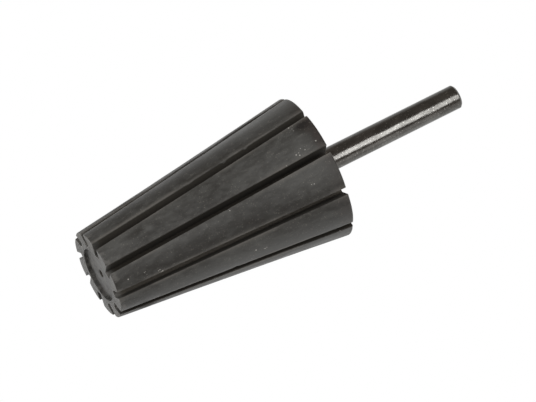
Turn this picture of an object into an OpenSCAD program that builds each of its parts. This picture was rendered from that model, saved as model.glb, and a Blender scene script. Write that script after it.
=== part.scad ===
// Tapered slotted rubber holder for conical abrasive sleeves, moulded on a steel shank.
// Millimetres. Origin at the centre of the small end's face, +Z along the axis to the shank's tip.

/* [Rubber body] */

// Diameter at the small end, over the slats
small_d = 22.5; // [21.4:0.1:24]
// Diameter at the large end, over the slats, before the rim is rounded
large_d = 36.7; // [32:0.1:42]
// Length of the rubber along the axis
body_len = 60.5; // [52:0.5:80]
// Rounding of the outer edge at the large end
rim_r = 0.5; // [0.3:0.1:1.6]

/* [Slots] */

// Number of slots around the body
slot_count = 10; // [6:1:12]
// Width of each slot, between its parallel walls
slot_w = 1.85; // [1.2:0.05:2.4]
// Distance of each slot's middle plane from the axis, which makes the slats lean
slot_offset = 3.9; // [2.5:0.1:4.2]
// Depth at the small end, measured along the slot's own plane
slot_depth_small = 3.4; // [1.5:0.1:4]
// Depth at the large end, measured along the slot's own plane
slot_depth_large = 4.8; // [2:0.1:6]

/* [End recess] */

// Diameter of the shallow recess in the small end
recess_d = 13.8; // [8:0.1:14.6]
// Depth of that recess
recess_depth = 0.85; // [0.3:0.05:2]
// Diameter of the gate dimple in the middle of the recess
dimple_d = 1.6; // [0.6:0.1:2.4]
// Depth of the gate dimple below the recess floor
dimple_depth = 0.8; // [0.3:0.1:1.5]

/* [Shank] */

// Shank diameter, the size a collet grips
shank_d = 6; // [6:0.5:8]
// Length of the shank outside the rubber
shank_out = 40; // [30:0.5:60]
// Chamfer at the shank's tip
shank_chamfer = 0.5; // [0.2:0.1:1]
// Length of the shank inside the rubber
shank_in = 46; // [43:0.5:50]
// Diameter of the buried stem, between its lock rings
stem_d = 5.2; // [3.6:0.1:5.6]
// Number of lock rings left on the buried stem, as wide across as the shank
ring_count = 3; // [1:1:3]
// Width of each lock ring
ring_w = 4; // [2:0.5:5]
// Distance from one lock ring to the next
ring_pitch = 14; // [8:0.5:15]
// Distance from the rubber's large end to the first lock ring
ring_start = 10; // [6:0.5:12]
// Thickness of the bonding film between steel and rubber
bond_gap = 0.02; // [0.01:0.01:0.1]

/* [Part shown] */

// Node to draw, or "all"

/* [Hidden] */

$fn = 96;
over = 1;
rim_steps = 6;

small_r = small_d / 2;
large_r = large_d / 2;
taper = atan((large_r - small_r) / body_len);
shank_r = shank_d / 2;
stem_r = stem_d / 2;
tip_z = body_len + shank_out;
root_z = body_len - shank_in;

// The rim's rounding touches the end plane and the tapered side.
rim_turn = 90 - taper;
rim_set = rim_r / tan(rim_turn / 2);
rim_c = [large_r - rim_set, body_len - rim_r];

// Distance from a slot's floor to the axis, along the slot's own plane, at both ends.
floor_small = sqrt(pow(small_r, 2) - pow(slot_offset, 2)) - slot_depth_small;
floor_large = sqrt(pow(large_r, 2) - pow(slot_offset, 2)) - slot_depth_large;
floor_rise = (floor_large - floor_small) / body_len;

// Half section of the solid taper, with its rounded rim.
function taper_section() = concat(
    [[0, 0], [small_r, 0]],
    [for (i = [0 : rim_steps])
        let (a = -taper + i * (90 + taper) / rim_steps)
        [rim_c[0] + rim_r * cos(a), rim_c[1] + rim_r * sin(a)]],
    [[0, body_len]]
);

// Half section of the shank, its buried stem and lock rings grown by a film.
function shank_section(film) = concat(
    [[0, root_z - film], [stem_r + film, root_z - film]],
    [for (i = [ring_count - 1 : -1 : 0])
        let (top = body_len - ring_start - i * ring_pitch)
        each [
            [stem_r + film, top - ring_w - film],
            [shank_r + film, top - ring_w - film],
            [shank_r + film, top + film],
            [stem_r + film, top + film]
        ]],
    film > 0 ? stem_mouth(film) : shank_end()
);

// The bore's open end, carried past the rubber's end face.
function stem_mouth(film) = [[stem_r + film, body_len + over], [0, body_len + over]];

// The free shank, from its shoulder on the rubber's end face to its chamfered tip.
function shank_end() = [
    [stem_r, body_len + bond_gap],
    [shank_r, body_len + bond_gap],
    [shank_r, tip_z - shank_chamfer],
    [shank_r - shank_chamfer, tip_z],
    [0, tip_z]
];

// One slot: parallel walls, a floor that follows the taper, set off from the axis.
module slot_cutter() {
    translate([0, slot_offset + slot_w / 2, 0])
        rotate([90, 0, 0])
            linear_extrude(height = slot_w)
                polygon([
                    [floor_small - over * floor_rise, -over],
                    [large_r + over, -over],
                    [large_r + over, body_len + over],
                    [floor_large + over * floor_rise, body_len + over]
                ]);
}

module rubber_body() {
    color([0.22, 0.21, 0.20])
        difference() {
            rotate_extrude() polygon(taper_section());
            for (k = [0 : slot_count - 1])
                rotate([0, 0, k * 360 / slot_count]) slot_cutter();
            translate([0, 0, -over])
                cylinder(d = recess_d, h = over + recess_depth);
            cylinder(d = dimple_d, h = recess_depth + dimple_depth);
            rotate_extrude() polygon(shank_section(bond_gap));
        }
}

module shank() {
    color([0.16, 0.15, 0.14])
        rotate_extrude() polygon(shank_section(0));
}

rubber_body();
shank();
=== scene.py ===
"""Looks of a tapered, slotted rubber sleeve holder moulded on a dark steel shank."""

import logging
import math
import random
from collections.abc import Callable, Sequence
from dataclasses import dataclass, field, replace
from enum import Enum

import bmesh
import bpy
from mathutils import Matrix, Vector, noise


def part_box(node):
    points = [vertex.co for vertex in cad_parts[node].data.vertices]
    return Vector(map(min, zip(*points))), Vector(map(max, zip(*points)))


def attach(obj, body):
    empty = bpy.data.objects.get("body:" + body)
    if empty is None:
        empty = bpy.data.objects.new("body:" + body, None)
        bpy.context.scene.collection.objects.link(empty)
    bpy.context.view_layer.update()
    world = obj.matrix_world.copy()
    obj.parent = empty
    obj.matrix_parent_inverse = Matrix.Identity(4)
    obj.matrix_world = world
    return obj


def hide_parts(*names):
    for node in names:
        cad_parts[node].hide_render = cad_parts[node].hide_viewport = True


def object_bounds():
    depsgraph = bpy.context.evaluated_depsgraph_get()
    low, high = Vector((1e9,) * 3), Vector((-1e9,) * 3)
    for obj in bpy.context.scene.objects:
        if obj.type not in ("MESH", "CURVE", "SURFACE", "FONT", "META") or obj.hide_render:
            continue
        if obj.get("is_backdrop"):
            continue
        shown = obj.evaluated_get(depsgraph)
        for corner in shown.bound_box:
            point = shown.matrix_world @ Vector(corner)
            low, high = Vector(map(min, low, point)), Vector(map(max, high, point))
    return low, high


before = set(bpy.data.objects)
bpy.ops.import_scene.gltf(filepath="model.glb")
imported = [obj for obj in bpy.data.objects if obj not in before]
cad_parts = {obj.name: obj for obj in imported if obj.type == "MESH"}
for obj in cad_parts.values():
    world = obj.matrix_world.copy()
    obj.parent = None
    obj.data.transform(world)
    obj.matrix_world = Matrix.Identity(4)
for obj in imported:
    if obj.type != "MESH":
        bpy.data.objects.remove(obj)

LOG = logging.getLogger("sleeve_holder")
MM = 0.001
PER_MM = 1000.0
BODY = "root"

Point = tuple[float, float]
Point3 = tuple[float, float, float]
Colour = tuple[float, float, float, float]
Mesh = bmesh.types.BMesh
Ring = list[bmesh.types.BMVert]
Piece = bpy.types.Object
Material = bpy.types.Material
Node = bpy.types.Node
Socket = bpy.types.NodeSocket


class Finish(Enum):
    """Material slots of the record; the pieces in this script do not take their finish from them."""

    RUBBER = "black_rubber"
    STEEL = "oxide_steel"


class Wall(Enum):
    """The two walls of a slot, named by the way round the axis."""

    FIRST = -1
    SECOND = 1


class Mask(Enum):
    """Point attributes that the rubber's mesh carries for its finish and for its painted light and
    shade.
    """

    # Pale edges: partly wear, partly a painted highlight along slot edges and round the ends.
    EDGE = "edge_wear_and_highlight"
    # Painted shade inside the slots and the gate dimple.
    DEPTH = "painted_shade"
    DUST = "dust_cover"
    # Tone patches: handling marks, painted shade and painted light on the slats, painted shade in the
    # recess.
    TONE = "handling_tone_and_painted_light"
    # Pale slot floors: partly dust, partly painted light.
    FLOOR = "floor_dust_and_painted_light"


def ease(low: float, high: float, value: float) -> float:
    """Smooth step from 0 to 1.

    Args:
        low: Value at which the step starts.
        high: Value at which the step ends.
        value: Value to place on the step.

    Returns:
        The eased share from 0 to 1.
    """
    share = min(max((value - low) / (high - low), 0.0), 1.0)
    return share * share * (3.0 - 2.0 * share)


def quadratic(start: Point, corner: Point, end: Point, steps: int) -> list[Point]:
    """Rounds a corner with a quadratic curve.

    Args:
        start: First point of the curve.
        corner: The sharp corner that is rounded.
        end: Last point of the curve.
        steps: Number of spans.

    Returns:
        The points of the curve, both ends included.
    """
    points = []
    for i in range(steps + 1):
        t = i / steps
        a, b, c = (1 - t) ** 2, 2 * t * (1 - t), t * t
        points.append(tuple(a * p + b * q + c * r for p, q, r in zip(start, corner, end)))
    return points


def lathe(bm: Mesh, profile: Sequence[Point], segments: int) -> list[Ring]:
    """Turns a half section about the Z axis.

    Args:
        bm: Mesh that gets the surface.
        profile: Radius and height of each point; a radius of 0 closes the surface.
        segments: Number of spans around the axis.

    Returns:
        The ring of vertices at each point of the profile.
    """
    rings: list[Ring] = []
    turns = [2 * math.pi * i / segments for i in range(segments)]
    for radius, height in profile:
        if radius == 0.0:
            rings.append([bm.verts.new((0.0, 0.0, height))])
            continue
        rings.append([bm.verts.new((radius * math.cos(a), radius * math.sin(a), height)) for a in turns])
    for lower, upper in zip(rings, rings[1:]):
        for i in range(segments):
            j = (i + 1) % segments
            around = ((lower, i), (lower, j), (upper, j), (upper, i))
            verts = [ring[k % len(ring)] for ring, k in around]
            bm.faces.new(list(dict.fromkeys(verts)))
    return rings


def ring_edges(bm: Mesh, ring: Ring) -> list[bmesh.types.BMEdge]:
    """Edges that join the neighbours of a closed ring.

    Args:
        bm: Mesh that holds the ring.
        ring: Vertices in order round the ring.

    Returns:
        The ring's edges, made where they are missing.
    """
    edges = []
    for a, b in zip(ring, [*ring[1:], ring[0]]):
        edges.append(bm.edges.get((a, b)) or bm.edges.new((a, b)))
    return edges


def mesh_piece(name: str, bm: Mesh, sharp_deg: float) -> Piece:
    """Turns a mesh into a shown piece, with its sharp edges marked.

    Args:
        name: Name of the piece.
        bm: Mesh that is used up.
        sharp_deg: Angle between faces from which an edge counts as sharp.

    Returns:
        The new object, linked to the scene.
    """
    bmesh.ops.recalc_face_normals(bm, faces=bm.faces[:])
    for edge in bm.edges:
        edge.smooth = edge.calc_face_angle(0.0) < math.radians(sharp_deg)
    mesh = bpy.data.meshes.new(name)
    bm.to_mesh(mesh)
    bm.free()
    piece = bpy.data.objects.new(name, mesh)
    bpy.context.scene.collection.objects.link(piece)
    return piece


@dataclass(frozen=True)
class Ramp:
    """A smooth step that carries one range of values to another."""

    low: float
    high: float
    start: float = 0.0
    end: float = 1.0


@dataclass(frozen=True)
class GrainPattern:
    """Clouds and grain of a finish, in features per millimetre, and how they are squeezed."""

    cloud: float
    fine: float
    stretch: Point = (1.0, 1.0)


@dataclass(frozen=True)
class SpeckPattern:
    """Specks of a finish: cells per millimetre, share of cells that hold one, size in a cell."""

    scale: float
    share: float
    size: float


class Graph:
    """Adds and links nodes in one node tree.

    The three numbers are the places of the Mix node's colour sockets.
    """

    mix_first: int = 6
    mix_second: int = 7
    mix_result: int = 2

    def __init__(self, tree: bpy.types.NodeTree) -> None:
        """Keeps the tree that the nodes go into."""
        self.tree = tree

    def add(self, kind: str, **settings: object) -> Node:
        """Adds one node.

        Args:
            kind: Blender's name of the node type.
            settings: Properties to set on the node.

        Returns:
            The new node.
        """
        node = self.tree.nodes.new(kind)
        for key, value in settings.items():
            setattr(node, key, value)
        return node

    def feed(self, target: Socket, source: object) -> None:
        """Links a socket, or sets it where the source is a plain value.

        Args:
            target: Input socket.
            source: Output socket, number, vector or colour.
        """
        if isinstance(source, Socket):
            self.tree.links.new(source, target)
        else:
            target.default_value = source

    def math(self, operation: str, *inputs: object) -> Socket:
        """Adds a Math node and feeds its inputs.

        Args:
            operation: Blender's name of the operation.
            inputs: Sockets or numbers, in order.

        Returns:
            The result's socket.
        """
        node = self.add("ShaderNodeMath", operation=operation)
        for target, source in zip(node.inputs, inputs):
            self.feed(target, source)
        return node.outputs[0]

    def remap(self, value: Socket, ramp: Ramp) -> Socket:
        """Smoothly carries one range of values to another.

        Args:
            value: Socket to carry over.
            ramp: The range it comes from and the one it goes to.

        Returns:
            The result's socket.
        """
        node = self.add("ShaderNodeMapRange", interpolation_type="SMOOTHSTEP")
        for target, source in zip(node.inputs, (value, ramp.low, ramp.high, ramp.start, ramp.end)):
            self.feed(target, source)
        return node.outputs[0]

    def blend(self, share: object, first: object, second: object) -> Socket:
        """Mixes two colours.

        Args:
            share: Socket or number; 0 keeps the first colour and 1 the second.
            first: Colour or socket.
            second: Colour or socket.

        Returns:
            The mixed colour's socket.
        """
        node = self.add("ShaderNodeMix", data_type="RGBA")
        self.feed(node.inputs["Factor"], share)
        self.feed(node.inputs[self.mix_first], first)
        self.feed(node.inputs[self.mix_second], second)
        return node.outputs[self.mix_result]

    def noise_value(self, where: Socket, scale: Socket, settings: dict[str, float]) -> Socket:
        """Adds a Noise Texture.

        Args:
            where: Socket of the place on the piece.
            scale: Socket of its scale.
            settings: Numbers for its other inputs.

        Returns:
            The socket of its grey value.
        """
        node = self.add("ShaderNodeTexNoise")
        for label, source in {"Vector": where, "Scale": scale, **settings}.items():
            self.feed(node.inputs[label], source)
        return node.outputs["Fac"]

    def bump(self, height: Socket, strength: float, depth: float) -> Socket:
        """Turns a height into a normal.

        Args:
            height: Socket of the height.
            strength: Strength of the relief.
            depth: Distance that a height of 1 stands for.

        Returns:
            The normal's socket.
        """
        node = self.add("ShaderNodeBump")
        for label, source in (("Strength", strength), ("Distance", depth), ("Height", height)):
            self.feed(node.inputs[label], source)
        return node.outputs["Normal"]

    def millimetres(self, stretch: Point = (1.0, 1.0)) -> Socket:
        """Places on the piece in millimetres.

        Args:
            stretch: How much the pattern is squeezed across and along the axis.

        Returns:
            The vector's socket.
        """
        coords = self.add("ShaderNodeTexCoord")
        mapping = self.add("ShaderNodeMapping")
        self.feed(mapping.inputs["Vector"], coords.outputs["Object"])
        across, along = stretch
        mapping.inputs["Scale"].default_value = (PER_MM * across, PER_MM * across, PER_MM * along)
        return mapping.outputs["Vector"]

    def attribute(self, mask: Mask) -> Socket:
        """Reads one of the mesh's point attributes as a number."""
        return self.add("ShaderNodeAttribute", attribute_name=mask.value).outputs["Fac"]


class SharedEffects:
    """Node groups that more than one finish places with its own values."""

    cloud_noise: dict[str, float] = {"Detail": 5.0, "Roughness": 0.58, "Distortion": 0.4}
    cloud_band: Ramp = Ramp(0.32, 0.68)
    fine_noise: dict[str, float] = {"Detail": 3.0, "Roughness": 0.65}
    smallest_speck: float = 0.4
    speck_sharpness: float = 3.0

    def __init__(self) -> None:
        """Builds the groups once."""
        self.grain = self._grain()
        self.specks = self._specks()

    @staticmethod
    def _group(name: str, inputs: dict[str, float], outputs: Sequence[str]) -> tuple[Graph, Node, Node]:
        """Makes a group with number sockets and a vector for the place.

        Args:
            name: Name of the group.
            inputs: Names and defaults of the number inputs.
            outputs: Names of the number outputs.

        Returns:
            A graph over the group, its input node and its output node.
        """
        tree = bpy.data.node_groups.new(name, "ShaderNodeTree")
        tree.interface.new_socket("Place", in_out="INPUT", socket_type="NodeSocketVector")
        for label, default in inputs.items():
            socket = tree.interface.new_socket(label, in_out="INPUT", socket_type="NodeSocketFloat")
            socket.default_value = default
        for label in outputs:
            tree.interface.new_socket(label, in_out="OUTPUT", socket_type="NodeSocketFloat")
        graph = Graph(tree)
        return graph, graph.add("NodeGroupInput"), graph.add("NodeGroupOutput")

    def _grain(self) -> bpy.types.NodeTree:
        """Cloudy patches and a fine grain.

        Returns:
            The group, with outputs Cloud and Height.
        """
        inputs = {"Cloud Scale": 0.2, "Grain Scale": 4.0}
        graph, source, sink = self._group("surface_grain", inputs, ("Cloud", "Height"))
        place = source.outputs["Place"]
        cloud = graph.noise_value(place, source.outputs["Cloud Scale"], self.cloud_noise)
        fine = graph.noise_value(place, source.outputs["Grain Scale"], self.fine_noise)
        graph.feed(sink.inputs["Cloud"], graph.remap(cloud, self.cloud_band))
        graph.feed(sink.inputs["Height"], fine)
        return graph.tree

    def _specks(self) -> bpy.types.NodeTree:
        """Scattered small specks, some cells of a grid holding one each.

        Returns:
            The group, with output Mask.
        """
        inputs = {"Scale": 1.0, "Share": 0.1, "Size": 0.2}
        graph, source, sink = self._group("specks", inputs, ("Mask",))
        cells = graph.add("ShaderNodeTexVoronoi", feature="F1")
        graph.feed(cells.inputs["Vector"], source.outputs["Place"])
        graph.feed(cells.inputs["Scale"], source.outputs["Scale"])
        parts = graph.add("ShaderNodeSeparateColor")
        graph.feed(parts.inputs["Color"], cells.outputs["Color"])
        chosen = graph.math("LESS_THAN", parts.outputs["Red"], source.outputs["Share"])
        varied = graph.math("ADD", self.smallest_speck, parts.outputs["Green"])
        reach = graph.math("MULTIPLY", source.outputs["Size"], varied)
        inside = graph.math("SUBTRACT", 1.0, graph.math("DIVIDE", cells.outputs["Distance"], reach))
        soft = graph.math("MULTIPLY", graph.math("MAXIMUM", inside, 0.0), self.speck_sharpness)
        graph.feed(sink.inputs["Mask"], graph.math("MULTIPLY", chosen, graph.math("MINIMUM", soft, 1.0)))
        return graph.tree

    @staticmethod
    def _place(graph: Graph, group: bpy.types.NodeTree, values: dict[str, object]) -> Node:
        """Places a group in a finish.

        Args:
            graph: The finish's graph.
            group: Group to place.
            values: Numbers or sockets for the group's inputs.

        Returns:
            The group's node.
        """
        node = graph.add("ShaderNodeGroup", node_tree=group)
        for label, value in values.items():
            graph.feed(node.inputs[label], value)
        return node

    def add_grain(self, graph: Graph, pattern: GrainPattern) -> Node:
        """Places the grain in a finish.

        Args:
            graph: The finish's graph.
            pattern: Its clouds and grain.

        Returns:
            The group's node, with outputs Cloud and Height.
        """
        where = graph.millimetres(pattern.stretch)
        values = {"Place": where, "Cloud Scale": pattern.cloud, "Grain Scale": pattern.fine}
        return self._place(graph, self.grain, values)

    def add_specks(
        self, graph: Graph, where: Socket, pattern: SpeckPattern, extra: Socket | None = None
    ) -> Socket:
        """Places specks in a finish.

        Args:
            graph: The finish's graph.
            where: Socket of the place on the piece.
            pattern: How the specks lie.
            extra: Socket that adds to the share of cells that hold a speck.

        Returns:
            The mask's socket.
        """
        share = pattern.share if extra is None else graph.math("ADD", extra, pattern.share)
        values = {"Place": where, "Scale": pattern.scale, "Share": share, "Size": pattern.size}
        return self._place(graph, self.specks, values).outputs["Mask"]


def new_material(name: str) -> tuple[Material, Graph, Node]:
    """Makes an empty material with one Principled shader.

    Args:
        name: Name of the material.

    Returns:
        The material, a graph over its nodes, and the shader.
    """
    material = bpy.data.materials.new(name)
    material.use_nodes = True
    material.node_tree.nodes.clear()
    graph = Graph(material.node_tree)
    shader = graph.add("ShaderNodeBsdfPrincipled")
    output = graph.add("ShaderNodeOutputMaterial")
    graph.feed(output.inputs["Surface"], shader.outputs["BSDF"])
    return material, graph, shader


@dataclass(frozen=True)
class RubberSignals:
    """Sockets in the rubber's material that several of its marks read."""

    place: Socket
    along: Socket
    cloud: Socket
    spots: Socket
    fine: Socket
    tone: Socket


@dataclass(frozen=True)
class RubberFinish:
    """Matt moulded rubber with cloudy handling marks, dust and a scuffed rim, with painted shade in the
    slots, dimple and recess, painted highlights along the edges and round the small end's lip, and
    patches of painted light and shade on the slats.

    Ramps over a height or a radius come from millimetres.
    """

    dark: Colour = (0.0192, 0.0189, 0.0170, 1.0)
    light: Colour = (0.0618, 0.0631, 0.0605, 1.0)
    # Dark stain colour for the darkest tone, real stains and painted shade alike.
    stain_and_shade: Colour = (0.010, 0.008, 0.007, 1.0)
    # Painted shade inside the slots.
    slot: Colour = (0.026, 0.023, 0.018, 1.0)
    # Pale slot floors: partly dust, partly painted light.
    silt_and_light: Colour = (0.150, 0.140, 0.120, 1.0)
    # Pale edges: partly wear, partly painted highlight.
    pale_wear_and_highlight: Colour = (0.100, 0.096, 0.088, 1.0)
    # Pale scuffs on the small end's face, and painted highlight round its lip.
    scuff_and_highlight: Colour = (0.125, 0.122, 0.115, 1.0)
    rim: Colour = (0.026, 0.019, 0.016, 1.0)
    fleck: Colour = (0.16, 0.15, 0.13, 1.0)
    dust: Colour = (0.62, 0.61, 0.58, 1.0)
    clouds: GrainPattern = GrainPattern(0.16, 3.2, (1.0, 0.35))
    mottle: GrainPattern = GrainPattern(0.7, 2.4, (1.0, 0.5))
    cloud_share: float = 0.46
    mottle_share: float = 0.50
    grain_share: float = 0.40
    dark_shift: float = 0.11
    stain_and_shade_band: Ramp = Ramp(-0.6, 0.0, 1.0, 0.0)
    rim_ragged: float = 3.0
    rim_band: Ramp = Ramp(57.5, 61.5, 0.0, 0.75)
    rim_grime: Ramp = Ramp(-0.35, 0.0, 1.0, 0.35)
    small_end: Ramp = Ramp(0.9, 1.7, 1.0, 0.0)
    end_scuffs: Ramp = Ramp(0.25, 0.85, 0.0, 0.42)
    # Painted highlight on the end face's outer band, round the lip.
    lip_highlight_face: Ramp = Ramp(0.02, 0.12, 1.0, 0.0)
    lip_highlight_band: Ramp = Ramp(9.8, 10.9, 0.0, 0.9)
    side: Ramp = Ramp(60.40, 60.48, 1.0, 0.0)
    edge_cover: Ramp = Ramp(0.1, 0.9, 0.15, 0.85)
    flecks: SpeckPattern = SpeckPattern(3.1, 0.26, 0.42)
    fleck_cover: Ramp = Ramp(0.30, 0.95, 0.16, 0.44)
    dust_specks: SpeckPattern = SpeckPattern(1.9, 0.0004, 0.36)
    dust_cover: float = 0.55
    haze_share: float = 0.5
    roughness: Ramp = Ramp(0.1, 0.9, 0.46, 0.62)
    matted: Ramp = Ramp(-1.0, -0.6, 0.95, 0.0)
    bump_strength: float = 0.22
    bump_depth: float = 0.12 * MM

    def _handled(self, graph: Graph, signals: RubberSignals) -> Socket:
        """Cloudy rubber with handling marks and patches of painted light and shade, a grimy rim, and a
        dark stain colour where the tone is darkest, which deepens the painted shade too.

        Args:
            graph: The material's graph.
            signals: Its shared sockets.

        Returns:
            The colour's socket.
        """
        spotted = graph.math("MULTIPLY_ADD", signals.spots, self.mottle_share, signals.tone)
        grained = graph.math("MULTIPLY_ADD", signals.fine, self.grain_share, spotted)
        lowered = graph.math("SUBTRACT", grained, self.dark_shift)
        share = graph.math("MULTIPLY_ADD", signals.cloud, self.cloud_share, lowered)
        colour = graph.blend(share, self.dark, self.light)
        ragged = graph.math("MULTIPLY_ADD", signals.spots, self.rim_ragged, signals.along)
        grimy = graph.remap(signals.tone, self.rim_grime)
        rim = graph.math("MULTIPLY", graph.remap(ragged, self.rim_band), grimy)
        colour = graph.blend(rim, colour, self.rim)
        # Dark stain colour where the tone is darkest: real stains, and painted shade where the tone
        # patches hold it.
        return graph.blend(graph.remap(share, self.stain_and_shade_band), colour, self.stain_and_shade)

    def _scuffed(self, graph: Graph, signals: RubberSignals, colour: Socket) -> Socket:
        """Adds pale scuffs on the small end's face, and a painted highlight round its lip.

        Args:
            graph: The material's graph.
            signals: Its shared sockets.
            colour: Socket of the colour so far.

        Returns:
            The new colour's socket.
        """
        on_face = graph.remap(signals.along, self.small_end)
        patchy = graph.remap(signals.spots, self.end_scuffs)
        colour = graph.blend(graph.math("MULTIPLY", on_face, patchy), colour, self.scuff_and_highlight)
        flat = graph.add("ShaderNodeVectorMath", operation="MULTIPLY")
        graph.feed(flat.inputs[0], signals.place)
        graph.feed(flat.inputs[1], (1.0, 1.0, 0.0))
        spread = graph.add("ShaderNodeVectorMath", operation="LENGTH")
        graph.feed(spread.inputs[0], flat.outputs["Vector"])
        # Painted highlight round the lip of the small end's face.
        lip = graph.remap(spread.outputs["Value"], self.lip_highlight_band)
        at_end = graph.math("MULTIPLY", graph.remap(signals.along, self.lip_highlight_face), signals.cloud)
        return graph.blend(graph.math("MULTIPLY", lip, at_end), colour, self.scuff_and_highlight)

    def _dusted(
        self, graph: Graph, effects: SharedEffects, signals: RubberSignals, colour: Socket
    ) -> Socket:
        """Adds flecks where the mottle gathers them, and specks of dust.

        Args:
            graph: The material's graph.
            effects: The shared node groups.
            signals: The material's shared sockets.
            colour: Socket of the colour so far.

        Returns:
            The new colour's socket.
        """
        flecks = effects.add_specks(graph, signals.place, self.flecks)
        gathered = graph.remap(signals.spots, self.fleck_cover)
        colour = graph.blend(graph.math("MULTIPLY", flecks, gathered), colour, self.fleck)
        specks = effects.add_specks(graph, signals.place, self.dust_specks, graph.attribute(Mask.DUST))
        return graph.blend(graph.math("MULTIPLY", specks, self.dust_cover), colour, self.dust)

    def make(self, effects: SharedEffects) -> Material:
        """Builds the material.

        Args:
            effects: The shared node groups.

        Returns:
            The finished material.
        """
        material, graph, shader = new_material("moulded_rubber")
        place = graph.millimetres()
        height = graph.add("ShaderNodeSeparateXYZ")
        graph.feed(height.inputs["Vector"], place)
        grain = effects.add_grain(graph, self.clouds)
        mottle = effects.add_grain(graph, self.mottle)
        signals = RubberSignals(
            place=place,
            along=height.outputs["Z"],
            cloud=grain.outputs["Cloud"],
            spots=mottle.outputs["Cloud"],
            fine=mottle.outputs["Height"],
            tone=graph.attribute(Mask.TONE),
        )
        colour = self._scuffed(graph, signals, self._handled(graph, signals))
        on_side = graph.remap(signals.along, self.side)
        # Pale edges, partly wear, partly painted highlight along the slot edges and round the ends.
        covered = graph.remap(signals.cloud, self.edge_cover)
        edge = graph.math("MULTIPLY", graph.attribute(Mask.EDGE), covered)
        colour = graph.blend(graph.math("MULTIPLY", edge, on_side), colour, self.pale_wear_and_highlight)
        colour = self._dusted(graph, effects, signals, colour)
        # Painted shade in the slots and the gate dimple.
        depth = graph.math("MULTIPLY", graph.attribute(Mask.DEPTH), on_side)
        # Paler colour on the slot floors: partly dust, partly painted light.
        inside = graph.blend(graph.attribute(Mask.FLOOR), self.slot, self.silt_and_light)
        graph.feed(shader.inputs["Base Color"], graph.blend(depth, colour, inside))

        clouded = graph.math("MULTIPLY", signals.cloud, self.haze_share)
        hazy = graph.math("MULTIPLY_ADD", signals.spots, self.haze_share, clouded)
        matted = graph.remap(signals.tone, self.matted)
        rough = graph.math("MAXIMUM", graph.remap(hazy, self.roughness), matted)
        graph.feed(shader.inputs["Roughness"], graph.math("MAXIMUM", rough, depth))
        normal = graph.bump(grain.outputs["Height"], self.bump_strength, self.bump_depth)
        graph.feed(shader.inputs["Normal"], normal)
        return material


@dataclass(frozen=True)
class OxideSteelFinish:
    """Drawn steel with a dark oxide skin, finely pitted."""

    skin: Colour = (0.088, 0.086, 0.081, 1.0)
    bare: Colour = (0.166, 0.163, 0.156, 1.0)
    grazing: Colour = (0.7, 0.7, 0.7, 1.0)
    glint: Colour = (0.34, 0.335, 0.32, 1.0)
    drawn: GrainPattern = GrainPattern(0.5, 5.0, (1.0, 0.4))
    bare_share: float = 0.6
    glints: SpeckPattern = SpeckPattern(3.6, 0.22, 0.42)
    glint_cover: float = 0.6
    roughness: Ramp = Ramp(0.3, 0.7, 0.15, 0.27)
    pits: SpeckPattern = SpeckPattern(2.6, 0.35, 0.45)
    pit_height: float = -0.6
    waver: float = 2.5
    bump_strength: float = 0.12
    bump_depth: float = 0.05 * MM

    def make(self, effects: SharedEffects) -> Material:
        """Builds the material.

        Args:
            effects: The shared node groups.

        Returns:
            The finished material.
        """
        material, graph, shader = new_material("dark_oxide_steel")
        place = graph.millimetres()
        grain = effects.add_grain(graph, self.drawn)
        cloud, fine = grain.outputs["Cloud"], grain.outputs["Height"]
        colour = graph.blend(graph.math("MULTIPLY", cloud, self.bare_share), self.skin, self.bare)
        glints = effects.add_specks(graph, place, self.glints)
        colour = graph.blend(graph.math("MULTIPLY", glints, self.glint_cover), colour, self.glint)
        graph.feed(shader.inputs["Base Color"], colour)
        shader.inputs["Metallic"].default_value = 1.0
        shader.inputs["Specular Tint"].default_value = self.grazing
        graph.feed(shader.inputs["Roughness"], graph.remap(fine, self.roughness))
        pits = effects.add_specks(graph, place, self.pits)
        pitted = graph.math("MULTIPLY_ADD", pits, self.pit_height, fine)
        relief = graph.math("MULTIPLY_ADD", cloud, self.waver, pitted)
        graph.feed(shader.inputs["Normal"], graph.bump(relief, self.bump_strength, self.bump_depth))
        return material


@dataclass(frozen=True)
class FloorFinish:
    """Pale matt paper, seen only from above."""

    paper: Colour = (0.855, 0.855, 0.845, 1.0)
    shade: Colour = (0.840, 0.840, 0.830, 1.0)
    clouds: GrainPattern = GrainPattern(0.02, 1.0)
    roughness: float = 0.9
    specular: float = 0.1

    def make(self, effects: SharedEffects) -> Material:
        """Builds the material.

        Args:
            effects: The shared node groups.

        Returns:
            The finished material.
        """
        material, graph, shader = new_material("pale_paper")
        grain = effects.add_grain(graph, self.clouds)
        colour = graph.blend(grain.outputs["Cloud"], self.paper, self.shade)
        graph.feed(shader.inputs["Base Color"], colour)
        shader.inputs["Roughness"].default_value = self.roughness
        shader.inputs["Specular IOR Level"].default_value = self.specular
        side = graph.add("ShaderNodeNewGeometry")
        clear = graph.add("ShaderNodeBsdfTransparent")
        mix = graph.add("ShaderNodeMixShader")
        graph.feed(mix.inputs[0], side.outputs["Backfacing"])
        graph.feed(mix.inputs[1], shader.outputs["BSDF"])
        graph.feed(mix.inputs[2], clear.outputs["BSDF"])
        output = next(node for node in graph.tree.nodes if node.type == "OUTPUT_MATERIAL")
        graph.feed(output.inputs["Surface"], mix.outputs["Shader"])
        return material


@dataclass(frozen=True)
class Nick:
    """A chip in one edge of a slot, in millimetres."""

    slot: int
    wall: Wall
    along: float
    depth: float
    reach: float


@dataclass(frozen=True)
class DustPatch:
    """A patch, in degrees and millimetres, where specks of dust lie close together."""

    turn_deg: float
    along: float
    spread: float
    cover: float


@dataclass(frozen=True)
class TonePatch:
    """A soft tone patch, in degrees and millimetres, dark below 0 and light above; the patches are
    partly handling marks, partly painted shade and painted light.
    """

    turn_deg: float
    along: float
    reach: float
    width: float
    tone: float


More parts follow.
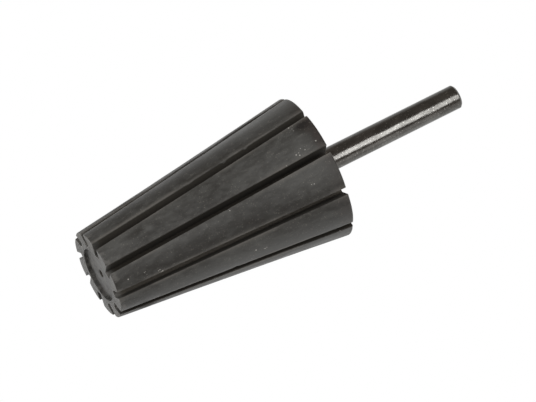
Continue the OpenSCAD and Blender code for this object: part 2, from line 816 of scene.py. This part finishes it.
@dataclass(frozen=True)
class DustAndTonePatches:
    """Dust, and soft tone patches on the moulded side: partly handling marks, partly painted shade and
    painted light.
    """

    dust_core: float = 0.2
    dust_patches: tuple[DustPatch, ...] = (
        DustPatch(42.3, 53.5, 1.0, 1.0),
        DustPatch(42.5, 55.0, 3.6, 0.32),
        DustPatch(45.0, 49.7, 0.9, 1.0),
        DustPatch(34.0, 57.8, 3.2, 0.12),
        DustPatch(19.4, 55.7, 0.9, 1.0),
        DustPatch(66.8, 53.2, 0.9, 1.0),
        DustPatch(54.7, 32.5, 0.9, 1.0),
        DustPatch(73.2, 9.0, 0.8, 1.0),
        DustPatch(78.9, 7.8, 0.9, 1.0),
        DustPatch(77.0, 8.0, 3.0, 0.05),
        DustPatch(84.5, 11.5, 1.1, 0.9),
        DustPatch(81.0, 3.2, 1.8, 0.4),
        DustPatch(107.9, 37.7, 0.8, 1.0),
        DustPatch(105.5, 34.8, 0.8, 1.0),
        DustPatch(116.0, 34.2, 0.9, 1.0),
        DustPatch(127.5, 30.1, 0.9, 1.0),
        DustPatch(215.0, 50.0, 7.0, 0.03),
        DustPatch(290.0, 20.0, 7.0, 0.03),
    )
    # Tone patches: partly handling marks, partly painted shade and painted light across the slats.
    tone_patches: tuple[TonePatch, ...] = (
        TonePatch(79.0, 20.0, 16.0, 4.2, -0.55),
        TonePatch(77.0, 41.0, 13.0, 4.0, -0.55),
        TonePatch(66.0, 9.0, 7.0, 3.0, -0.16),
        TonePatch(62.0, 54.5, 4.5, 4.0, 0.18),
        TonePatch(5.0, 30.0, 32.0, 3.0, -0.22),
        TonePatch(-3.0, 26.0, 30.0, 3.0, -0.18),
        TonePatch(33.0, 60.2, 2.2, 6.0, -0.80),
        TonePatch(-12.0, 50.0, 8.0, 2.4, 0.30),
        TonePatch(2.0, 50.0, 4.0, 3.0, -0.12),
        TonePatch(-13.0, 20.0, 18.0, 2.2, -0.52),
        TonePatch(2.0, 9.0, 6.0, 4.0, -0.34),
        TonePatch(-26.0, 30.0, 34.0, 1.5, -0.72),
        TonePatch(-26.0, 50.0, 9.0, 1.5, -0.50),
        TonePatch(-26.0, 12.0, 7.0, 1.5, -0.25),
        TonePatch(24.0, 16.0, 12.0, 1.8, 0.45),
        TonePatch(24.5, 44.0, 3.0, 2.0, -0.35),
        TonePatch(33.5, 11.0, 3.0, 3.0, -0.40),
        TonePatch(40.0, 26.0, 9.0, 2.4, -0.25),
        TonePatch(35.5, 41.0, 6.0, 2.0, 0.45),
        TonePatch(37.5, 55.0, 3.0, 2.5, 0.55),
        TonePatch(59.8, 16.0, 14.0, 1.5, 0.50),
        TonePatch(101.0, 34.0, 8.0, 3.0, 0.26),
        TonePatch(115.0, 5.0, 5.0, 1.6, -0.45),
        TonePatch(119.0, 30.0, 34.0, 1.2, -0.40),
        TonePatch(128.0, 10.0, 9.0, 1.6, -0.50),
        TonePatch(125.5, 48.0, 9.0, 1.8, -0.45),
        TonePatch(142.0, 7.0, 8.0, 3.6, -0.85),
        TonePatch(35.2, 13.4, 1.0, 0.8, 1.00),
        TonePatch(31.0, 3.5, 3.5, 4.0, 0.55),
        TonePatch(20.8, 57.7, 2.0, 1.9, -1.15),
        TonePatch(100.0, 55.0, 8.0, 6.0, -0.14),
        TonePatch(160.0, 22.0, 9.0, 3.0, -0.28),
        TonePatch(195.0, 44.0, 12.0, 4.0, 0.22),
        TonePatch(236.0, 30.0, 14.0, 3.5, -0.30),
        TonePatch(272.0, 50.0, 6.0, 4.0, 0.25),
        TonePatch(310.0, 16.0, 10.0, 3.0, -0.25),
        TonePatch(184.0, 59.4, 1.8, 5.0, -0.45),
        TonePatch(290.0, 59.6, 1.6, 6.0, -0.40),
    )

    def dust_at(self, place: Vector, side_radius: Callable[[float], float]) -> float:
        """Cover of dust at one place on the side.

        Args:
            place: Point on the rubber.
            side_radius: Gives the side's radius at a height.

        Returns:
            The cover, from 0 to 1.
        """
        cover = 0.0
        for patch in self.dust_patches:
            turn, along, spread = math.radians(patch.turn_deg), patch.along * MM, patch.spread * MM
            radius = side_radius(along)
            centre = Vector((radius * math.cos(turn), radius * math.sin(turn), along))
            fade = 1.0 - ease(self.dust_core * spread, spread, (place - centre).length)
            cover = max(cover, patch.cover * fade)
        return cover

    def tone_at(self, place: Vector) -> float:
        """Lightening or darkening by the tone patches at one place on the side.

        Args:
            place: Point on the rubber.

        Returns:
            The sum of all tone patches there, dark below 0 and light above.
        """
        turn = math.atan2(place.y, place.x)
        radius = math.hypot(place.x, place.y)
        tone = 0.0
        for tone_patch in self.tone_patches:
            away = math.remainder(turn - math.radians(tone_patch.turn_deg), 2 * math.pi) * radius
            across = away / (tone_patch.width * MM)
            along = (place.z - tone_patch.along * MM) / (tone_patch.reach * MM)
            tone += tone_patch.tone * math.exp(-(across**2 + along**2))
        return tone


@dataclass(frozen=True)
class OutlinePoint:
    """A point of the slotted section, with what the finish needs to know of it."""

    x: float
    y: float
    # Edge wear and painted highlight, from 0 to 1.
    wear_and_highlight: float = 0.0
    # Painted shade, from 0 to 1.
    depth: float = 0.0
    # Paler slot floor, partly dust, partly painted light, from 0 to 1.
    floor: float = 0.0


@dataclass(frozen=True)
class SlotEdge:
    """An edge of a slot in one section: its wall, its rounding and where that leaves the slat."""

    wall: Wall
    offset: float
    soft: float
    top: float
    angle: float


@dataclass(frozen=True)
class BuriedStem:
    """The shank's hidden end, which the rubber's bore follows."""

    depth: float = 46 * MM
    radius: float = 2.6 * MM
    ring_radius: float = 3.0 * MM
    ring_count: int = 3
    ring_w: float = 4 * MM
    ring_pitch: float = 14 * MM
    ring_start: float = 10 * MM
    film: float = 0.02 * MM

    def profile(self, end: float, grow: float) -> list[Point]:
        """Half section from the buried end up to the last lock ring.

        Args:
            end: Height of the rubber's large end.
            grow: How far every surface is moved outward.

        Returns:
            Radius and height of each corner.
        """
        narrow, wide = self.radius + grow, self.ring_radius + grow
        base = end - self.depth - grow
        points = [(0.0, base), (narrow, base)]
        for i in reversed(range(self.ring_count)):
            top = end - self.ring_start - i * self.ring_pitch + grow
            low = top - self.ring_w - 2 * grow
            points += [(narrow, low), (wide, low), (wide, top), (narrow, top)]
        return points


@dataclass
class RubberBody:
    """The tapered moulding with its leaning slots, slats and end recess.

    Sizes are in metres, but the nicks and wall_drift, the stray of each slot's two walls, are in
    millimetres. wave_noise and edge_noise hold steps per slot, per radian or wall, and per metre.
    """

    length: float
    small_r: float = 11.25 * MM
    large_r: float = 18.35 * MM
    rim_r: float = 0.5 * MM
    crown: float = 0.2 * MM
    bow: float = 0.18 * MM
    bow_still: float = 0.3
    waist: float = 0.42
    wave: float = 0.035 * MM
    wave_noise: Point3 = (5.7, 2.0, 140.0)
    wave_plane: float = 0.5

    slot_count: int = 10
    slot_w: float = 1.85 * MM
    slot_offset: float = 3.9 * MM
    depth_small: float = 3.4 * MM
    depth_large: float = 4.8 * MM
    edge_soft: float = 0.16 * MM
    edge_vary: float = 0.35
    edge_noise: Point3 = (7.3, 3.1, 1200.0)
    floor_soft: float = 0.25 * MM
    # Painted slot shade sets in over slot_fade down each wall and fades in over mouth_light from the
    # small end.
    slot_fade: float = 0.32 * MM
    mouth_light: float = 2.4 * MM
    wall_shares: Point = (0.35, 0.7)
    wall_drift: tuple[Point, ...] = (
        (-0.22, 0.0),
        (-0.06, 0.0),
        (0.06, 0.04),
        (0.18, 0.26),
        (0.05, -0.06),
        (-0.08, 0.04),
        (0.10, 0.02),
        (-0.04, -0.10),
        (0.06, 0.09),
        (0.0, -0.28),
    )
    # Paler slot floors, partly dust, partly painted light, one share per slot.
    floor_silt_and_light: tuple[float, ...] = (0.2, 0.0, 0.6, 0.9, 0.2, 0.5, 0.3, 0.1, 0.4, 0.3)

    recess_r: float = 6.9 * MM
    recess_depth: float = 0.85 * MM
    recess_rings: tuple[float, ...] = (0.9, 0.75, 0.6, 0.45)
    # Painted shade over the recess, broken into blotches.
    recess_shade_tone: float = -0.25
    recess_blotch: float = 0.85
    blotch_scale: float = 640.0
    dimple_r: float = 0.8 * MM
    dimple_depth: float = 0.8 * MM
    dimple_soft: float = 0.4 * MM
    dimple_taper: float = 0.8
    dimple_shade: float = 0.8
    dish_share: float = 2.2
    dish_rise: float = 0.05 * MM
    lip_soft: float = 0.1 * MM
    lip_middle: float = 0.3
    # Edge wear and painted highlight round the rounded ends and beside the slot edges.
    lip_wear_and_highlight: float = 0.6
    slat_wear_and_highlight: float = 0.35

    station_step: float = 0.4 * MM
    rim_spans: int = 9
    slat_spans: int = 16
    edge_spans: int = 4
    floor_spans: int = 2
    recess_spans: int = 96
    lip_spans: int = 3
    mouth_spans: int = 4
    dimple_rings: int = 6
    sharp_deg: float = 40.0

    nick_seed: int = 11
    nicks_per_edge: int = 2
    nick_places: Point = (0.03, 0.97)
    nick_depths: Point = (0.06, 0.2)
    nick_reaches: Point = (0.2, 0.5)
    marked_nicks: tuple[Nick, ...] = (
        Nick(0, Wall.FIRST, 43.8, 0.45, 0.45),
        Nick(0, Wall.FIRST, 37.7, 0.50, 0.55),
        Nick(1, Wall.SECOND, 32.2, 0.40, 0.50),
        Nick(3, Wall.FIRST, 30.0, 0.40, 0.60),
    )
    marks: DustAndTonePatches = field(default_factory=DustAndTonePatches)
    stem: BuriedStem = field(default_factory=BuriedStem)

    def __post_init__(self) -> None:
        """Works out the taper, the rim's rounding and all nicks."""
        self.taper = math.atan((self.large_r - self.small_r) / self.length)
        self.pitch = 2 * math.pi / self.slot_count
        tangent = self.rim_r / math.tan((math.pi / 2 - self.taper) / 2)
        self.rim_centre = (self.large_r - tangent, self.length - self.rim_r)
        self.nicks = [*self.marked_nicks, *self._stray_nicks()]

    def _stray_nicks(self) -> list[Nick]:
        """Small chips spread by chance along every slot's edges."""
        chance = random.Random(self.nick_seed)
        strays = []
        for slot in range(self.slot_count):
            for wall in Wall:
                for _ in range(self.nicks_per_edge):
                    along = chance.uniform(*self.nick_places) * self.length * PER_MM
                    depth = chance.uniform(*self.nick_depths)
                    reach = chance.uniform(*self.nick_reaches)
                    strays.append(Nick(slot, wall, along, depth, reach))
        return strays

    def side_radius(self, height: float) -> float:
        """Radius of the tapered side at a height, without the rim's rounding."""
        return self.small_r + height * math.tan(self.taper)

    def bowed(self, height: float) -> float:
        """How far the moulded side stands out from a true taper, or in from it below 0."""
        share = (height / self.length - self.waist) / (1.0 - self.waist)
        return self.bow * (share**2 - self.bow_still)

    def floor_distance(self, height: float) -> float:
        """Distance of a slot's floor from the axis, along the slot's own plane."""
        small = math.sqrt(self.small_r**2 - self.slot_offset**2) - self.depth_small
        large = math.sqrt(self.large_r**2 - self.slot_offset**2) - self.depth_large
        return small + (large - small) * height / self.length

    def wall_offset(self, slot: int, wall: Wall) -> float:
        """Distance of a slot's wall from the plane through the axis, with its stray from true.

        Args:
            slot: Number of the slot.
            wall: Which of its walls.

        Returns:
            The distance.
        """
        first, second = self.wall_drift[slot % len(self.wall_drift)]
        drift = first if wall is Wall.FIRST else second
        return self.slot_offset + wall.value * self.slot_w / 2 + drift * MM

    def softness(self, slot: int, wall: Wall, height: float) -> float:
        """Rounding of one edge of a slot, larger where it is nicked.

        Args:
            slot: Number of the slot.
            wall: Which of its walls.
            height: Place along the axis.

        Returns:
            The rounding's size.
        """
        apart, aside, rate = self.edge_noise
        place = Vector((slot * apart, wall.value * aside, height * rate))
        soft = self.edge_soft * (1.0 + self.edge_vary * noise.noise(place))
        for nick in self.nicks:
            if nick.slot == slot and nick.wall is wall:
                away = (height - nick.along * MM) / (nick.reach * MM)
                soft += nick.depth * MM * math.exp(-(away**2))
        return soft

    def stations(self) -> list[Point3]:
        """Height, radius and inset of every ring, from the small end to the large end.

        Returns:
            The rings in order.
        """
        soft = self.lip_soft
        foot = self.small_r + self.bowed(0.0)
        rings = [(0.0, foot, soft), (self.lip_middle * soft, foot, self.lip_middle * soft)]
        rim_foot = self.rim_centre[1] - self.rim_r * math.sin(self.taper)
        spans = round((rim_foot - soft) / self.station_step)
        for i in range(spans):
            height = soft + (rim_foot - soft) * i / spans
            rings.append((height, self.side_radius(height) + self.bowed(height), 0.0))
        for i in range(self.rim_spans + 1):
            angle = -self.taper + (math.pi / 2 + self.taper) * i / self.rim_spans
            height = self.rim_centre[1] + self.rim_r * math.sin(angle)
            inset = soft * ease(self.length - soft, self.length, height)
            radius = self.rim_centre[0] + self.rim_r * math.cos(angle) + self.bowed(height)
            rings.append((height, radius, inset))
        return rings

    def _edge(self, slot: int, wall: Wall, height: float, edge_r: float) -> SlotEdge:
        """One edge of a slot in the section at a height.

        Args:
            slot: Number of the slot.
            wall: Which of its walls.
            height: Place along the axis.
            edge_r: Radius of the slats at their edges.

        Returns:
            The edge.
        """
        offset, soft = self.wall_offset(slot, wall), self.softness(slot, wall, height)
        top = math.sqrt(edge_r**2 - offset**2)
        angle = math.asin(offset / edge_r) + wall.value * soft / edge_r
        return SlotEdge(wall, offset, soft, top, angle)

    def _wall_points(
        self, edge: SlotEdge, edge_r: float, floor: float, fade: float, silt_and_light: float
    ) -> list[OutlinePoint]:
        """One wall of a slot, from the slat down into the floor's corner.

        Args:
            edge: The wall's edge.
            edge_r: Radius of the slats at their edges.
            floor: Distance of the floor from the axis.
            fade: Share of the wall over which the painted slot shade sets in.
            silt_and_light: Pale floor colour, partly dust, partly painted light, from 0 to 1.

        Returns:
            The points in order.
        """
        y, top, foot = edge.offset, edge.top, floor + self.floor_soft
        start = (edge_r * math.cos(edge.angle), edge_r * math.sin(edge.angle))
        rounding = quadratic(start, (top, y), (top - edge.soft, y), self.edge_spans)
        # The rounded edge takes the full edge wear and painted highlight.
        points = [OutlinePoint(*point, wear_and_highlight=1.0) for point in rounding]
        # Below its rounded edge the wall takes the painted slot shade.
        for share in (fade, *self.wall_shares):
            x = top - edge.soft + (foot - top + edge.soft) * share
            points.append(OutlinePoint(x, y, depth=1.0))
        end = (floor, y - edge.wall.value * self.floor_soft)
        for point in quadratic((foot, y), (floor, y), end, self.floor_spans):
            points.append(OutlinePoint(*point, depth=1.0, floor=silt_and_light))
        return points

    def _slat_points(self, slot: int, span: Point, height: float, radius: float) -> list[OutlinePoint]:
        """The crowned, slightly rippled slat after a slot.

        Args:
            slot: Number of the slot.
            span: Angles at which the slat starts and stops.
            height: Place along the axis.
            radius: Radius of the slats there.

        Returns:
            The points in order, without those of its edges.
        """
        start, stop = span
        apart, turned, rate = self.wave_noise
        points = []
        for i in range(1, self.slat_spans):
            angle = start + (stop - start) * i / self.slat_spans
            across = 2.0 * i / self.slat_spans - 1.0
            place = Vector((slot * apart + angle * turned, height * rate, self.wave_plane))
            swell = radius - self.crown * across**2 + self.wave * noise.noise(place)
            # The slat's outermost points take some edge wear and painted highlight.
            wear_and_highlight = self.slat_wear_and_highlight if i in (1, self.slat_spans - 1) else 0.0
            points.append(OutlinePoint(swell * math.cos(angle), swell * math.sin(angle), wear_and_highlight))
        return points

    def outline(self, height: float, radius: float) -> list[OutlinePoint]:
        """Outline of the slotted section at one height.

        Args:
            height: Place along the axis.
            radius: Radius of the slats there.

        Returns:
            The points in order round the axis.
        """
        floor = self.floor_distance(height)
        edge_r = radius - self.crown
        points: list[OutlinePoint] = []
        for slot in range(self.slot_count):
            first, second = (self._edge(slot, wall, height, edge_r) for wall in Wall)
            following = self._edge((slot + 1) % self.slot_count, Wall.FIRST, height, edge_r)
            silt_and_light = self.floor_silt_and_light[slot % len(self.floor_silt_and_light)]
            fade = self.slot_fade / (first.top - floor)
            local = self._wall_points(first, edge_r, floor, fade, silt_and_light)
            local.append(OutlinePoint(floor, (first.offset + second.offset) / 2, depth=1.0, floor=silt_and_light))
            local += reversed(self._wall_points(second, edge_r, floor, fade, silt_and_light))
            span = (second.angle, self.pitch + following.angle)
            local += self._slat_points(slot, span, height, radius)
            cos_turn, sin_turn = math.cos(slot * self.pitch), math.sin(slot * self.pitch)
            for spot in local:
                x, y = spot.x * cos_turn - spot.y * sin_turn, spot.x * sin_turn + spot.y * cos_turn
                points.append(replace(spot, x=x, y=y))
        return points

    def _add_side(self, bm: Mesh) -> list[Ring]:
        """Adds the slotted side as one ring of vertices per station.

        Args:
            bm: Mesh that gets the side.

        Returns:
            The rings, from the small end to the large end.
        """
        layers = {mask: bm.verts.layers.float.new(mask.value) for mask in Mask}
        rings = []
        for height, radius, inset in self.stations():
            outline = self.outline(height, radius)
            ring = []
            for i, spot in enumerate(outline):
                last, following = outline[i - 1], outline[(i + 1) % len(outline)]
                out = Vector((following.y - last.y, last.x - following.x)).normalized()
                vert = bm.verts.new((spot.x - inset * out.x, spot.y - inset * out.y, height))
                # Edge wear and painted highlight, also on the rounded rings at both ends.
                vert[layers[Mask.EDGE]] = max(spot.wear_and_highlight, self.lip_wear_and_highlight if inset > 0.0 else 0.0)
                # Painted slot shade, faded out towards the open small end.
                vert[layers[Mask.DEPTH]] = spot.depth * ease(0.0, self.mouth_light, height)
                # Paler slot floors: partly dust, partly painted light.
                vert[layers[Mask.FLOOR]] = spot.floor
                vert[layers[Mask.DUST]] = self.marks.dust_at(vert.co, self.side_radius)
                # Tone patches: handling marks, painted shade and painted light.
                vert[layers[Mask.TONE]] = self.marks.tone_at(vert.co)
                ring.append(vert)
            rings.append(ring)
        for lower, upper in zip(rings, rings[1:]):
            for i in range(len(lower)):
                j = (i + 1) % len(lower)
                face = bm.faces.new((lower[i], lower[j], upper[j], upper[i]))
                face.smooth = True
        return rings

    def _recess_profile(self) -> list[Point]:
        """Half section of the recess and its gate dimple, from the lip to the axis."""
        r, d, soft = self.recess_r, self.recess_depth, self.lip_soft
        hole, mouth, bottom = self.dimple_r, self.dimple_soft, d + self.dimple_depth
        points = quadratic((r + soft, 0.0), (r, 0.0), (r, soft), self.lip_spans)
        points += quadratic((r, d - soft), (r, d), (r - soft, d), self.lip_spans)
        points += [(r * share, d) for share in self.recess_rings]
        points.append((hole * self.dish_share, d - self.dish_rise))
        points += quadratic((hole + mouth, d), (hole, d), (hole, d + mouth), self.mouth_spans)
        return [*points, (hole * self.dimple_taper, bottom), (0.0, bottom)]

    def _bore_profile(self) -> list[Point]:
        """Half section of the bore round the buried stem, from its base to its mouth."""
        stem = self.stem
        return [*stem.profile(self.length, stem.film), (stem.radius + stem.film, self.length)]

    def build(self) -> Piece:
        """Builds the moulding as one closed mesh.

        Returns:
            The rubber piece.
        """
        bm = bmesh.new()
        rings = self._add_side(bm)
        recess = lathe(bm, self._recess_profile(), self.recess_spans)
        shade = bm.verts.layers.float[Mask.DEPTH.value]
        recess_shade = bm.verts.layers.float[Mask.TONE.value]
        # Painted shade over the recess, broken into blotches.
        for ring in recess:
            for vert in ring:
                blotch = noise.noise(vert.co * self.blotch_scale)
                vert[recess_shade] = self.recess_shade_tone + self.recess_blotch * blotch
        # Painted shade in the gate dimple.
        for ring in recess[-self.dimple_rings :]:
            for vert in ring:
                vert[shade] = self.dimple_shade
        bore = lathe(bm, self._bore_profile(), self.recess_spans)
        for outer, inner in ((rings[0], recess[0]), (rings[-1], bore[-1])):
            edges = ring_edges(bm, outer) + ring_edges(bm, inner)
            bmesh.ops.triangle_fill(bm, use_beauty=True, use_dissolve=False, edges=edges)
        return mesh_piece("rubber_moulding", bm, self.sharp_deg)

    def dress(self, piece: Piece, material: Material) -> None:
        """Gives the moulding its finish and its place in the frame.

        Args:
            piece: The moulding.
            material: Its material.
        """
        piece.data.materials.append(material)
        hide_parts("rubber_body")
        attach(piece, BODY)


@dataclass
class Shank:
    """The turned steel shank, with its buried stem."""

    rubber_end: float
    tip: float
    radius: float = 3.0 * MM
    chamfer: float = 0.5 * MM
    soft: float = 0.06 * MM
    spans: int = 128
    corner_spans: int = 3
    sharp_deg: float = 28.0
    stem: BuriedStem = field(default_factory=BuriedStem)

    def profile(self) -> list[Point]:
        """Half section from the buried end to the tip."""
        stem, r, c, s, tip = self.stem, self.radius, self.chamfer, self.soft, self.tip
        shoulder = self.rubber_end + stem.film
        points = stem.profile(self.rubber_end, 0.0)
        points += [(stem.radius, shoulder), (r, shoulder)]
        points += quadratic((r, tip - c - s), (r, tip - c), (r - s, tip - c + s), self.corner_spans)
        points += quadratic((r - c + s, tip - s), (r - c, tip), (r - c - s, tip), self.corner_spans)
        return [*points, (0.0, tip)]

    def build(self) -> Piece:
        """Turns the shank.

        Returns:
            The steel piece.
        """
        bm = bmesh.new()
        lathe(bm, self.profile(), self.spans)
        for face in bm.faces:
            face.smooth = True
        return mesh_piece("steel_shank", bm, self.sharp_deg)

    def dress(self, piece: Piece, material: Material) -> None:
        """Gives the shank its finish and its place in the frame.

        Args:
            piece: The shank.
            material: Its material.
        """
        piece.data.materials.append(material)
        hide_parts("shank")
        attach(piece, BODY)


@dataclass(frozen=True)
class PhotoCamera:
    """The long-lens camera at the photograph's place."""

    eye: Point3 = (904.476 * MM, 1356.029 * MM, -399.140 * MM)
    aim: Point3 = (-1.792 * MM, 1.504 * MM, 45.928 * MM)
    roll_deg: float = 63.4345
    focal_px: float = 7000.0
    image_w_px: float = 536.0
    sensor_w: float = 36.0
    clip: Point = (0.1, 20.0)

    def axes(self) -> Matrix:
        """Columns to the right, upward and back toward the camera."""
        ahead = (Vector(self.aim) - Vector(self.eye)).normalized()
        level = ahead.cross(Vector((0.0, 0.0, 1.0))).normalized()
        above = level.cross(ahead)
        roll = math.radians(self.roll_deg)
        right = level * math.cos(roll) + above * math.sin(roll)
        up = above * math.cos(roll) - level * math.sin(roll)
        return Matrix((right, up, -ahead)).transposed()

    def build(self) -> bpy.types.Object:
        """Places the camera and makes it the scene's own.

        Returns:
            The camera.
        """
        data = bpy.data.cameras.new("photo_camera")
        data.sensor_fit = "HORIZONTAL"
        data.sensor_width = self.sensor_w
        data.lens = self.focal_px / self.image_w_px * self.sensor_w
        data.clip_start, data.clip_end = self.clip
        camera = bpy.data.objects.new("photo_camera", data)
        camera.matrix_world = Matrix.Translation(self.eye) @ self.axes().to_4x4()
        bpy.context.scene.collection.objects.link(camera)
        bpy.context.scene.camera = camera
        return camera


@dataclass(frozen=True)
class Softbox:
    """One area light, placed by its direction from the object in the camera's axes."""

    name: str
    toward: Point3
    distance: float
    size: Point
    radiance: float

    def build(self, axes: Matrix, centre: Vector) -> bpy.types.Object:
        """Places the light so that it faces the object.

        Args:
            axes: The camera's axes.
            centre: Middle of the object.

        Returns:
            The light.
        """
        data = bpy.data.lights.new(self.name, "AREA")
        data.shape = "RECTANGLE"
        data.size, data.size_y = self.size
        data.energy = self.radiance * math.pi * self.size[0] * self.size[1]
        light = bpy.data.objects.new(self.name, data)
        out = (axes @ Vector(self.toward)).normalized()
        light.rotation_mode = "QUATERNION"
        light.rotation_quaternion = out.to_track_quat("Z", "Y")
        light.location = centre + out * self.distance
        bpy.context.scene.collection.objects.link(light)
        return light


@dataclass(frozen=True)
class Studio:
    """White sweep, dim room, three soft lights and a pale floor."""

    camera: PhotoCamera
    room: Colour = (0.30, 0.265, 0.235, 1.0)
    sweep: Colour = (1.25, 1.25, 1.24, 1.0)
    view: Colour = (1.0, 1.0, 1.0, 1.0)
    sweep_low_deg: float = 15.0
    sweep_band: Ramp = Ramp(-0.12, 0.62)
    floor_half: float = 4.0
    floor_cells: int = 8
    lights: tuple[Softbox, ...] = (
        Softbox("strip_softbox", (0.624, 0.127, 0.771), 0.947, (0.62, 0.26), 5.9),
        Softbox("fill_softbox", (-0.534, 0.181, 0.827), 1.0, (0.5, 0.5), 7.0),
        Softbox("bounce_card", (0.739, -0.626, 0.249), 0.955, (0.47, 0.3), 0.9),
    )

    def world(self) -> None:
        """White paper behind and below the object, a dim warm room in front, white in view."""
        axes = self.camera.axes()
        low = math.radians(self.sweep_low_deg)
        sweep_way = -axes.col[2] * math.cos(low) - axes.col[1] * math.sin(low)
        world = bpy.data.worlds.new("white_sweep")
        world.use_nodes = True
        world.node_tree.nodes.clear()
        graph = Graph(world.node_tree)
        coords = graph.add("ShaderNodeTexCoord")
        along = graph.add("ShaderNodeVectorMath", operation="DOT_PRODUCT")
        graph.feed(along.inputs[0], coords.outputs["Generated"])
        graph.feed(along.inputs[1], sweep_way)
        share = graph.remap(along.outputs["Value"], self.sweep_band)
        light = graph.blend(share, self.room, self.sweep)
        path = graph.add("ShaderNodeLightPath")
        shown = graph.blend(path.outputs["Is Camera Ray"], light, self.view)
        background = graph.add("ShaderNodeBackground")
        graph.feed(background.inputs["Color"], shown)
        output = graph.add("ShaderNodeOutputWorld")
        graph.feed(output.inputs["Surface"], background.outputs["Background"])
        bpy.context.scene.world = world

    def floor(self, material: Material) -> bpy.types.Object:
        """Lays the floor under the object, seen only from above.

        Args:
            material: The floor's material.

        Returns:
            The floor.
        """
        bm = bmesh.new()
        cells = self.floor_cells
        bmesh.ops.create_grid(bm, x_segments=cells, y_segments=cells, size=self.floor_half)
        mesh = bpy.data.meshes.new("floor")
        bm.to_mesh(mesh)
        bm.free()
        floor = bpy.data.objects.new("floor", mesh)
        bpy.context.scene.collection.objects.link(floor)
        floor.data.materials.append(material)
        floor.visible_diffuse = False
        floor.visible_glossy = False
        floor.visible_shadow = False
        floor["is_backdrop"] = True
        return floor

    def build(self, material: Material, centre: Vector) -> None:
        """Sets up light, floor and camera.

        Args:
            material: The floor's material.
            centre: Middle of the object.
        """
        bpy.context.scene.view_settings.view_transform = "Standard"
        self.world()
        self.floor(material)
        for light in self.lights:
            light.build(self.camera.axes(), centre)
        self.camera.build()


def main() -> None:
    """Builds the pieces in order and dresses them."""
    logging.basicConfig(level=logging.INFO, format="%(name)s: %(message)s")
    cad_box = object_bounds()
    effects = SharedEffects()
    rubber_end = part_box("rubber_body")[1][2]
    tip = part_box("shank")[1][2]

    body = RubberBody(length=rubber_end)
    moulding = body.build()
    body.dress(moulding, RubberFinish().make(effects))
    LOG.info("rubber moulding with %d faces", len(moulding.data.polygons))

    shank = Shank(rubber_end=rubber_end, tip=tip)
    pin = shank.build()
    shank.dress(pin, OxideSteelFinish().make(effects))
    LOG.info("steel shank with %d faces", len(pin.data.polygons))

    centre = (cad_box[0] + cad_box[1]) / 2
    Studio(PhotoCamera()).build(FloorFinish().make(effects), centre)
    LOG.info("studio, floor and camera")


if __name__ == "__main__":
    main()
